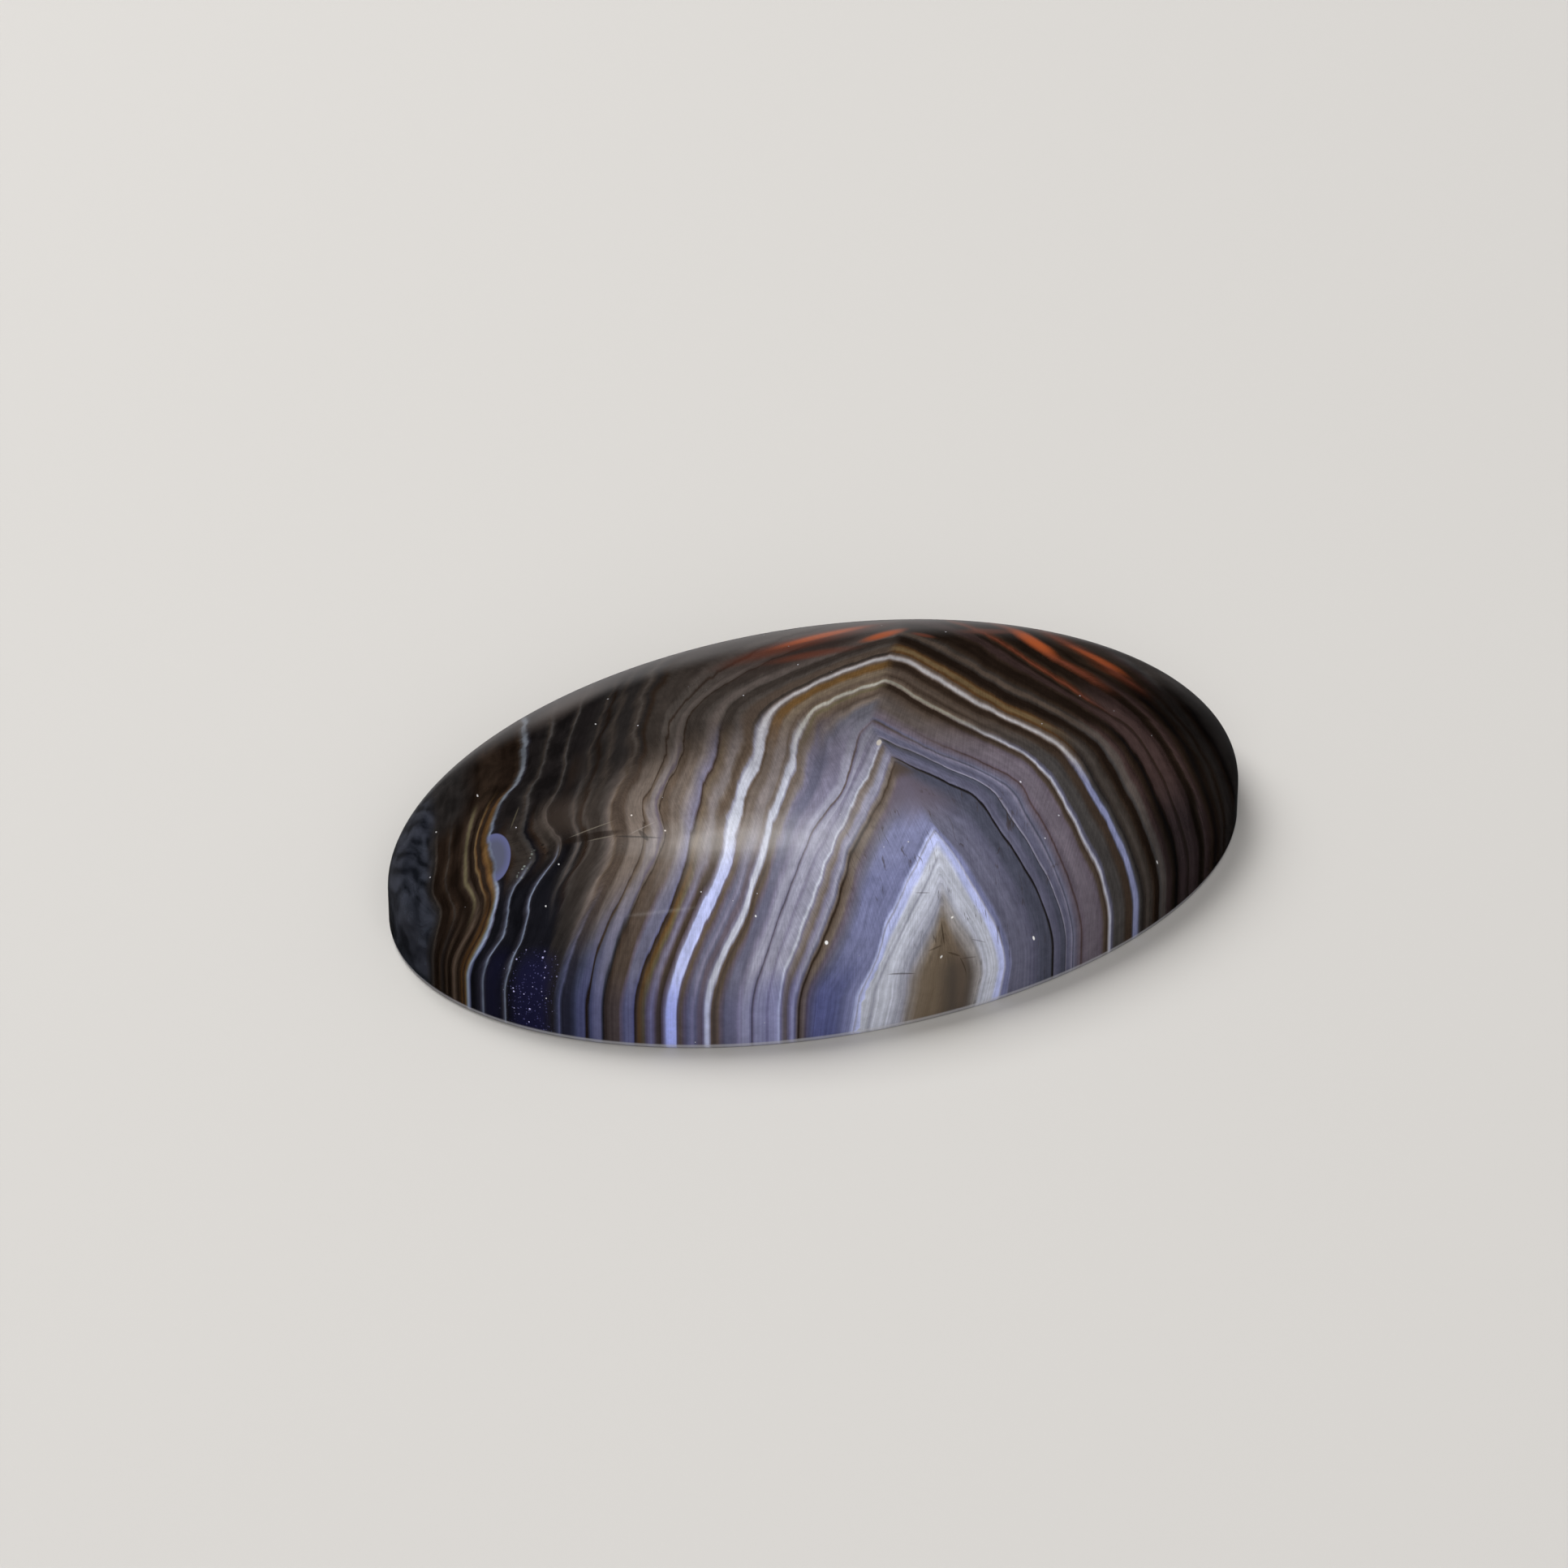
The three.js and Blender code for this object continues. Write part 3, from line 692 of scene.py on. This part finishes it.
# Fine healed cracks run across the layers around the eye.
CRACK_MM = 0.55
CRACK_LENGTH_MM = 1.6
CRACK_BEND_PER_MM = 1.6
CRACK_STRENGTH = 0.6
AROUND_THE_EYE = ((1.6, -7.2), (4.6, 3.6), 0)
crack_spot = add_node(shade, "ShaderNodeVectorMath", {
    0: drift, 1: (1 / CRACK_MM, 1 / CRACK_LENGTH_MM, 1.0),
}, operation="MULTIPLY")
crack_bend = add_node(shade, "ShaderNodeTexNoise", {"Vector": drift, "Scale": CRACK_BEND_PER_MM,
                                                    "Detail": 3.0}, noise_dimensions="2D")
crack_place = add_node(shade, "ShaderNodeVectorMath", {0: crack_spot, 1: crack_bend.outputs["Color"]},
                       operation="ADD")
cracks = add_node(shade, "ShaderNodeTexVoronoi", {"Vector": crack_place, "Scale": 1.0},
                  feature="DISTANCE_TO_EDGE", voronoi_dimensions="2D")
crack_line = add_node(shade, "ShaderNodeMapRange", {0: cracks, 1: 0.05, 2: 0.015})
crack_here = add_node(shade, "ShaderNodeTexNoise", {"Vector": place_mm, "Scale": 1.6, "Detail": 2.0})
crack_some = add_node(shade, "ShaderNodeMapRange", {0: crack_here, 1: 0.54, 2: 0.64})
crack_area = patch(*AROUND_THE_EYE, CRACK_STRENGTH, (1.1, 0.6))
crack_part = add_node(shade, "ShaderNodeMath", {0: crack_line, 1: crack_some}, operation="MULTIPLY")
crack_share = add_node(shade, "ShaderNodeMath", {0: crack_part, 1: crack_area}, operation="MULTIPLY")
colour = tinted(crack_share, "walnut")

for middle, halves, degrees, tone, strength in FLAWS:
    colour = tinted(patch(middle, halves, degrees, strength, CRISP_EDGE), tone)

# Grains on and in the stone: the spacing in millimetres, the share of places left empty, the largest
# radius, the patch that they keep to, with its strength and its edge, and the tone. Fine dust lies all
# over the polish. In the dark front end, crystals show as pale specks, partly their own colour and
# partly painted glints. The shells around the bud are knurled.
GRAINS = [
    (0.42, 0.8, 0.034, None, "c4c4cc"),
    (0.07, 0.5, 0.03, ((-12.55, -5.35), (1.1, 0.7), -36, 0.55, (1.1, 0.4)), "5c5c8c"),
    (0.12, 0.7, 0.036, ((-12.55, -5.25), (1.1, 0.75), -36, 1.0, (1.1, 0.5)), "bcbae8"),
    (0.13, 0.1, 0.075, ((-11.3, -2.0), (0.65, 0.2), 42, 0.7, (1.1, 0.6)), "8a928c"),
    (0.15, 0.2, 0.08, ((-10.6, -1.75), (0.42, 0.42), 0, 0.6, (1.1, 0.5)), "121010"),
]
for spacing_mm, empty_share, radius_mm, area, tone in GRAINS:
    cells = add_node(shade, "ShaderNodeTexVoronoi", {"Vector": place_mm, "Scale": 1 / spacing_mm})
    pick = add_node(shade, "ShaderNodeSeparateColor", {0: cells.outputs["Color"]})
    size = add_node(shade, "ShaderNodeMapRange", {0: pick, 1: empty_share, 2: 1.0, 3: 0.0,
                                                  4: radius_mm / spacing_mm})
    share = add_node(shade, "ShaderNodeMath", {0: cells.outputs["Distance"], 1: size},
                     operation="LESS_THAN")
    if area:
        share = add_node(shade, "ShaderNodeMath", {0: share, 1: patch(*area)}, operation="MULTIPLY")
    colour = tinted(share, tone)

# The back and the bevel are only finely ground: matt, and paler, partly from the grinding and partly
# as a painted highlight, the thin bright line along the foot of the stone.
POLISHED_ABOVE_MM = 0.24
GROUND_BELOW_MM = 0.16
GROUND_PALE_AND_HIGHLIGHT = 0.5
POLISHED_ROUGHNESS = 0.07
GROUND_ROUGHNESS = 0.55
ground = add_node(shade, "ShaderNodeMapRange", {0: at.outputs[2], 1: POLISHED_ABOVE_MM, 2: GROUND_BELOW_MM},
                  interpolation_type="SMOOTHSTEP")
pale_and_highlight_share = add_node(shade, "ShaderNodeMath", {0: ground, 1: GROUND_PALE_AND_HIGHLIGHT}, operation="MULTIPLY")
colour = tinted(pale_and_highlight_share, "c6c6cc")
polish = add_node(shade, "ShaderNodeMapRange", {0: ground, 3: POLISHED_ROUGHNESS, 4: GROUND_ROUGHNESS})

QUARTZ_IOR = 1.54
skin = add_node(shade, "ShaderNodeBsdfPrincipled", {
    "Base Color": colour,
    "IOR": QUARTZ_IOR,
    "Roughness": polish,
})
add_node(shade, "ShaderNodeOutputMaterial", {"Surface": skin})


def sine_and_cosine(angle):
    """The sine and the cosine of an angle in the form's tree."""
    return [add_node(form, "ShaderNodeMath", {0: angle}, operation=kind) for kind in ("SINE", "COSINE")]


# The turned form, as a Geometry Nodes tree: a grid whose columns go round the stone and whose rows
# go out over the flat back, round the bevel, up the wall and over the dome to the crown.
form = bpy.data.node_groups.new("cabochon_form", "GeometryNodeTree")
form.interface.new_socket("Geometry", in_out="OUTPUT", socket_type="NodeSocketGeometry")
form_values = {
    "Length": ("NodeSocketFloat", STONE_LENGTH),
    "Width": ("NodeSocketFloat", STONE_WIDTH),
    "Wall Height": ("NodeSocketFloat", WALL_HEIGHT),
    "Dome Rise": ("NodeSocketFloat", DOME_RISE),
    "Base Bevel": ("NodeSocketFloat", BASE_BEVEL),
    "Segments Around": ("NodeSocketInt", SEGMENTS_AROUND),
    "Rings on Base": ("NodeSocketInt", RINGS_ON_BASE),
    "Rings on Bevel": ("NodeSocketInt", RINGS_ON_BEVEL),
    "Rings on Wall": ("NodeSocketInt", RINGS_ON_WALL),
    "Rings on Dome": ("NodeSocketInt", RINGS_ON_DOME),
    "Lean": ("NodeSocketFloat", LAYER_LEAN),
    "Growth Sheet": ("NodeSocketObject", growth_sheet),
    "Finish": ("NodeSocketMaterial", agate),
}
form_sockets = {
    name: form.interface.new_socket(name, in_out="INPUT", socket_type=kind)
    for name, (kind, value) in form_values.items()
}
given = add_node(form, "NodeGroupInput").outputs
bevel_ring = add_node(form, "ShaderNodeMath", {0: given["Rings on Base"], 1: given["Rings on Bevel"]},
                      operation="ADD")
wall_ring = add_node(form, "ShaderNodeMath", {0: bevel_ring, 1: given["Rings on Wall"]}, operation="ADD")
last_ring = add_node(form, "ShaderNodeMath", {0: wall_ring, 1: given["Rings on Dome"]}, operation="ADD")
columns = add_node(form, "ShaderNodeMath", {0: given["Segments Around"], 1: 1.0}, operation="ADD")
rows = add_node(form, "ShaderNodeMath", {0: last_ring, 1: 1.0}, operation="ADD")
grid = add_node(form, "GeometryNodeMeshGrid", {"Size X": 1.0, "Size Y": 1.0,
                                               "Vertices X": columns, "Vertices Y": rows})
spot = add_node(form, "ShaderNodeSeparateXYZ", {0: add_node(form, "GeometryNodeInputPosition")})
turn = add_node(form, "ShaderNodeMapRange", {0: spot.outputs[0], 1: -0.5, 2: 0.5, 3: 0.0, 4: math.tau})
across = add_node(form, "ShaderNodeMath", {0: spot.outputs[1], 1: 0.5}, operation="ADD")
ring = add_node(form, "ShaderNodeMath", {0: across, 1: last_ring}, operation="MULTIPLY")
base_share = add_node(form, "ShaderNodeMapRange", {0: ring, 1: 0.0, 2: given["Rings on Base"]})
bevel_turn = add_node(form, "ShaderNodeMapRange", {0: ring, 1: given["Rings on Base"], 2: bevel_ring,
                                                   4: math.pi / 2})
wall_share = add_node(form, "ShaderNodeMapRange", {0: ring, 1: bevel_ring, 2: wall_ring})
dome_turn = add_node(form, "ShaderNodeMapRange", {0: ring, 1: wall_ring, 2: last_ring, 4: math.pi / 2})
radius = add_node(form, "ShaderNodeMath", {0: given["Length"], 1: 0.5}, operation="MULTIPLY")

# Rings at equal turns would crowd at the rim of so low a dome, and rings at equal reach at its
# crown, so each ring takes the middle of the two.
reach_sine, reach_cosine = sine_and_cosine(dome_turn)
reach_up = add_node(form, "ShaderNodeMath", {0: reach_sine, 1: radius}, operation="MULTIPLY")
reach_out = add_node(form, "ShaderNodeMath", {0: reach_cosine, 1: given["Dome Rise"]}, operation="MULTIPLY")
reach_turn = add_node(form, "ShaderNodeMath", {0: reach_up, 1: reach_out}, operation="ARCTAN2")
turn_sum = add_node(form, "ShaderNodeMath", {0: dome_turn, 1: reach_turn}, operation="ADD")
climb = add_node(form, "ShaderNodeMath", {0: turn_sum, 1: 0.5}, operation="MULTIPLY")
climb_sine, climb_cosine = sine_and_cosine(climb)

# How far out from the middle each ring lies, and how high up.
bevel_sine, bevel_cosine = sine_and_cosine(bevel_turn)
flat_radius = add_node(form, "ShaderNodeMath", {0: radius, 1: given["Base Bevel"]}, operation="SUBTRACT")
flat_out = add_node(form, "ShaderNodeMath", {0: base_share, 1: flat_radius}, operation="MULTIPLY")
bevel_out = add_node(form, "ShaderNodeMath", {0: bevel_sine, 1: given["Base Bevel"], 2: flat_out},
                     operation="MULTIPLY_ADD")
outward = add_node(form, "ShaderNodeMath", {0: bevel_out, 1: climb_cosine}, operation="MULTIPLY")
bevel_up = add_node(form, "ShaderNodeMath", {0: 1.0, 1: bevel_cosine}, operation="SUBTRACT")
bevel_height = add_node(form, "ShaderNodeMath", {0: bevel_up, 1: given["Base Bevel"]}, operation="MULTIPLY")
wall_rise = add_node(form, "ShaderNodeMath", {0: given["Wall Height"], 1: given["Base Bevel"]},
                     operation="SUBTRACT")
wall_height = add_node(form, "ShaderNodeMath", {0: wall_share, 1: wall_rise, 2: bevel_height},
                       operation="MULTIPLY_ADD")
height = add_node(form, "ShaderNodeMath", {0: climb_sine, 1: given["Dome Rise"], 2: wall_height},
                  operation="MULTIPLY_ADD")

# Each column is turned to its place round the stone, and the round form is narrowed to the oval.
turn_sine, turn_cosine = sine_and_cosine(turn)
oval = add_node(form, "ShaderNodeMath", {0: given["Width"], 1: given["Length"]}, operation="DIVIDE")
point_x = add_node(form, "ShaderNodeMath", {0: outward, 1: turn_cosine}, operation="MULTIPLY")
round_y = add_node(form, "ShaderNodeMath", {0: outward, 1: turn_sine}, operation="MULTIPLY")
point_y = add_node(form, "ShaderNodeMath", {0: round_y, 1: oval}, operation="MULTIPLY")
point = add_node(form, "ShaderNodeCombineXYZ", {0: point_x, 1: point_y, 2: height})
turned = add_node(form, "GeometryNodeSetPosition", {"Geometry": grid, "Position": point})
MERGE_DISTANCE = 0.0005 * MM
closed = add_node(form, "GeometryNodeMergeByDistance", {"Geometry": turned, "Distance": MERGE_DISTANCE})

# Each point of the stone takes the layer that lies over it, so that the bands run down the wall
# and through to the back. The ray falls from far above the sheet to far below it.
RAY_START = 1.0
RAY_LENGTH = 2.0
sheet = add_node(form, "GeometryNodeObjectInfo", {"Object": given["Growth Sheet"]})
sheet_run = add_node(form, "GeometryNodeInputNamedAttribute", {"Name": "along"}, data_type="FLOAT")
spot_now = add_node(form, "ShaderNodeSeparateXYZ", {0: add_node(form, "GeometryNodeInputPosition")})
off_eye = add_node(form, "ShaderNodeMath", {0: spot_now.outputs[0], 1: EYE_MIDDLE}, operation="SUBTRACT")
from_eye = add_node(form, "ShaderNodeMath", {0: off_eye}, operation="ABSOLUTE")
lean = add_node(form, "ShaderNodeMapRange", {0: from_eye, 1: LEAN_FULL_WITHIN, 2: LEAN_NONE_BEYOND,
                                             3: given["Lean"], 4: 0.0}, interpolation_type="SMOOTHSTEP")
below_dome = add_node(form, "ShaderNodeMath", {0: given["Wall Height"], 1: spot_now.outputs[2]},
                      operation="SUBTRACT")
down_wall = add_node(form, "ShaderNodeMath", {0: below_dome, 1: 0.0}, operation="MAXIMUM")
leant = add_node(form, "ShaderNodeMath", {0: down_wall, 1: lean, 2: spot_now.outputs[0]},
                 operation="MULTIPLY_ADD")
above = add_node(form, "ShaderNodeCombineXYZ", {0: leant, 1: spot_now.outputs[1], 2: RAY_START})
look_down = add_node(form, "GeometryNodeRaycast", {
    "Target Geometry": sheet.outputs["Geometry"],
    "Attribute": sheet_run,
    "Source Position": above,
    "Ray Direction": (0.0, 0.0, -1.0),
    "Ray Length": RAY_LENGTH,
}, data_type="FLOAT")
met = add_node(form, "ShaderNodeSeparateXYZ", {0: look_down.outputs["Hit Position"]})
met_age = add_node(form, "ShaderNodeMath", {0: met.outputs[2], 1: 1 / MM}, operation="MULTIPLY")
known_age = add_node(form, "GeometryNodeSwitch", {"Switch": look_down.outputs["Is Hit"],
                                                  "False": OUTERMOST_AGE, "True": met_age},
                     input_type="FLOAT")
known_layer = add_node(form, "ShaderNodeCombineXYZ", {0: known_age, 1: look_down.outputs["Attribute"]})
layered = add_node(form, "GeometryNodeStoreNamedAttribute", {"Geometry": closed, "Name": "growth",
                                                             "Value": known_layer},
                   data_type="FLOAT_VECTOR", domain="POINT")
smooth = add_node(form, "GeometryNodeSetShadeSmooth", {"Geometry": layered})
realized = add_node(form, "GeometryNodeRealizeInstances", {"Geometry": smooth})
finished = add_node(form, "GeometryNodeSetMaterial", {"Geometry": realized, "Material": given["Finish"]})
add_node(form, "NodeGroupOutput", {0: finished})

former = bpy.data.objects.new("cabochon_former", bpy.data.meshes.new("cabochon_former"))
scene.collection.objects.link(former)
former_nodes = former.modifiers.new("form", "NODES")
former_nodes.node_group = form
for name, (kind, value) in form_values.items():
    former_nodes[form_sockets[name].identifier] = value
depsgraph = bpy.context.evaluated_depsgraph_get()
stone_mesh = bpy.data.meshes.new_from_object(former.evaluated_get(depsgraph))
stone_mesh.name = "cabochon_stone"
stone = bpy.data.objects.new("cabochon_stone", stone_mesh)
scene.collection.objects.link(stone)
bpy.data.objects.remove(former)
bpy.data.objects.remove(growth_sheet)
bpy.data.meshes.remove(sheet_mesh)

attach(stone, "root")
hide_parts("cabochon")

# The floor: a plain sheet of pale paper, much larger than the stone, which only carries its shadow.
# Its pressed fibres scatter the light evenly, so that it gives the eye no sheen.
FLOOR_HALF = 1.5
PAPER_ROUGHNESS = 0.9
PAPER_SHEEN_LEVEL = 0.2
floor_mesh = bpy.data.meshes.new("studio_floor")
floor_mesh.from_pydata([(-FLOOR_HALF, -FLOOR_HALF, 0), (FLOOR_HALF, -FLOOR_HALF, 0),
                        (FLOOR_HALF, FLOOR_HALF, 0), (-FLOOR_HALF, FLOOR_HALF, 0)], [], [(0, 1, 2, 3)])
floor = bpy.data.objects.new("studio_floor", floor_mesh)
scene.collection.objects.link(floor)
paper = bpy.data.materials.new("matt_paper_pressed")
paper.use_nodes = True
paper_skin = paper.node_tree.nodes["Principled BSDF"]
paper_skin.inputs["Base Color"].default_value = linear_colour("d2d0cc")
paper_skin.inputs["Roughness"].default_value = PAPER_ROUGHNESS
paper_skin.inputs["Specular IOR Level"].default_value = PAPER_SHEEN_LEVEL
floor.data.materials.append(paper)
floor.visible_glossy = False

# The light: a dim even room, a large softbox above and behind, a weaker one in front, and four soft
# ones that show only in the polish, as streaks on the dome. In the polish the room is dark, but for
# a pale band low behind the stone, brightest a little to the right, which lights the far rim.
ROOM_GLOW = 0.35
BAND_GLOW = 0.34
BAND_MIDDLE = 0.3
BAND_SIDE_SHARE = 0.18
room = bpy.data.worlds.new("studio_room")
scene.world = room
room.use_nodes = True
air = room.node_tree
air.nodes.clear()
look = add_node(air, "ShaderNodeSeparateXYZ", {0: add_node(air, "ShaderNodeTexCoord").outputs["Generated"]})
to_the_rear = add_node(air, "ShaderNodeMapRange", {0: look.outputs[1], 1: 0.4, 2: 0.75, 4: BAND_GLOW},
                       interpolation_type="SMOOTHSTEP")
low_down = add_node(air, "ShaderNodeMapRange", {0: look.outputs[2], 1: 0.08, 2: -0.12},
                    interpolation_type="SMOOTHSTEP")
not_too_low = add_node(air, "ShaderNodeMapRange", {0: look.outputs[2], 1: -0.7, 2: -0.3},
                       interpolation_type="SMOOTHSTEP")
low_band = add_node(air, "ShaderNodeMath", {0: low_down, 1: not_too_low}, operation="MULTIPLY")
off_middle = add_node(air, "ShaderNodeMath", {0: look.outputs[0], 1: BAND_MIDDLE}, operation="SUBTRACT")
off_to_side = add_node(air, "ShaderNodeMath", {0: off_middle}, operation="ABSOLUTE")
near_middle = add_node(air, "ShaderNodeMapRange", {0: off_to_side, 1: 0.22, 2: 0.08, 3: BAND_SIDE_SHARE},
                       interpolation_type="SMOOTHSTEP")
rear_glow = add_node(air, "ShaderNodeMath", {0: to_the_rear, 1: low_band}, operation="MULTIPLY")
polish_glow = add_node(air, "ShaderNodeMath", {0: rear_glow, 1: near_middle}, operation="MULTIPLY")
in_polish = add_node(air, "ShaderNodeLightPath").outputs["Is Glossy Ray"]
room_glow = add_node(air, "ShaderNodeMix", {0: in_polish, 2: ROOM_GLOW, 3: polish_glow}, data_type="FLOAT")
backdrop = add_node(air, "ShaderNodeBackground", {"Color": linear_colour("e8e4e4"),
                                                  "Strength": room_glow.outputs[0]})
add_node(air, "ShaderNodeOutputWorld", {"Surface": backdrop})


def fade_to_edges(lamp):
    """Makes a light full in the middle of its cloth and dark at the edges, as an oval."""
    lamp.use_nodes = True
    glow = lamp.node_tree
    glow.nodes.clear()
    cloth = add_node(glow, "ShaderNodeMapping", {
        "Vector": add_node(glow, "ShaderNodeNewGeometry").outputs["Parametric"],
        "Location": (0.5, 0.5, 0.0),
        "Scale": (0.5, 0.5, 1.0),
    }, vector_type="TEXTURE")
    from_edge = add_node(glow, "ShaderNodeTexGradient", {0: cloth}, gradient_type="SPHERICAL")
    fade = add_node(glow, "ShaderNodeMapRange", {0: from_edge.outputs["Fac"], 2: 0.5},
                    interpolation_type="SMOOTHSTEP")
    bulb = add_node(glow, "ShaderNodeEmission", {"Strength": fade})
    add_node(glow, "ShaderNodeOutputLight", {"Surface": bulb})


def softbox(name, towards, distance, size, power, across, in_polish_only=False):
    """A light of a size in metres and a power in watts that faces the stone, its long side along across."""
    lamp = bpy.data.lights.new(name, "AREA")
    lamp.shape = "RECTANGLE"
    lamp.size, lamp.size_y = size
    lamp.energy = power
    holder = bpy.data.objects.new(name, lamp)
    scene.collection.objects.link(holder)
    away = np.array(towards) / np.linalg.norm(towards)
    rise = np.cross(away, across)
    rise = rise / np.linalg.norm(rise)
    turn = Matrix(np.column_stack([np.cross(rise, away), rise, away]).tolist()).to_4x4()
    holder.matrix_world = Matrix.Translation(away * distance) @ turn
    holder.visible_camera = False
    holder.visible_glossy = in_polish_only
    holder.visible_diffuse = not in_polish_only
    if in_polish_only:
        fade_to_edges(lamp)


LEVEL = (1.0, 0.0, 0.0)
STREAK_SLANT = (0.33, -0.34, 0.14)
LOW_STREAK_SLANT = (0.17, -0.04, 0.03)
softbox("softbox_rear", (-0.25, 0.55, 0.85), 0.5, (0.35, 0.35), 2.2, LEVEL)
softbox("softbox_front", (-0.3, -0.9, 0.6), 0.6, (0.5, 0.4), 1.6, LEVEL)
softbox("streak_long", (0.15, 0.37, 0.91), 0.6, (0.34, 0.175), 0.24, STREAK_SLANT, in_polish_only=True)
softbox("streak_short", (0.145, 0.37, 0.91), 0.59, (0.175, 0.088), 0.085, STREAK_SLANT, in_polish_only=True)
softbox("streak_veil", (0.2, 0.25, 0.94), 0.61, (0.4, 0.38), 0.24, STREAK_SLANT, in_polish_only=True)
softbox("streak_low", (-0.14, 0.03, 0.99), 0.58, (0.13, 0.02), 0.0095, LOW_STREAK_SLANT,
        in_polish_only=True)

# The camera: a long lens from the front left, 34 degrees above the floor. The picture shows the
# colours as they are, without a film curve.
CAMERA_AIM = (0.762 * MM, 4.623 * MM, 0.0)
CAMERA_BACK = (-0.328, -0.761, 0.559)
CAMERA_DISTANCE = 250.65 * MM
FOCAL_LENGTH_MM = 167.7
SENSOR_WIDTH_MM = 36.0
lens = bpy.data.cameras.new("camera")
lens.lens = FOCAL_LENGTH_MM
lens.sensor_width = SENSOR_WIDTH_MM
lens.clip_start = 0.01
lens.clip_end = 10.0
camera = bpy.data.objects.new("camera", lens)
scene.collection.objects.link(camera)
back = np.array(CAMERA_BACK) / np.linalg.norm(CAMERA_BACK)
camera.location = np.array(CAMERA_AIM) + back * CAMERA_DISTANCE
camera.rotation_mode = "QUATERNION"
camera.rotation_quaternion = Vector(-back).to_track_quat("-Z", "Y")
scene.camera = camera
scene.view_settings.view_transform = "Standard"
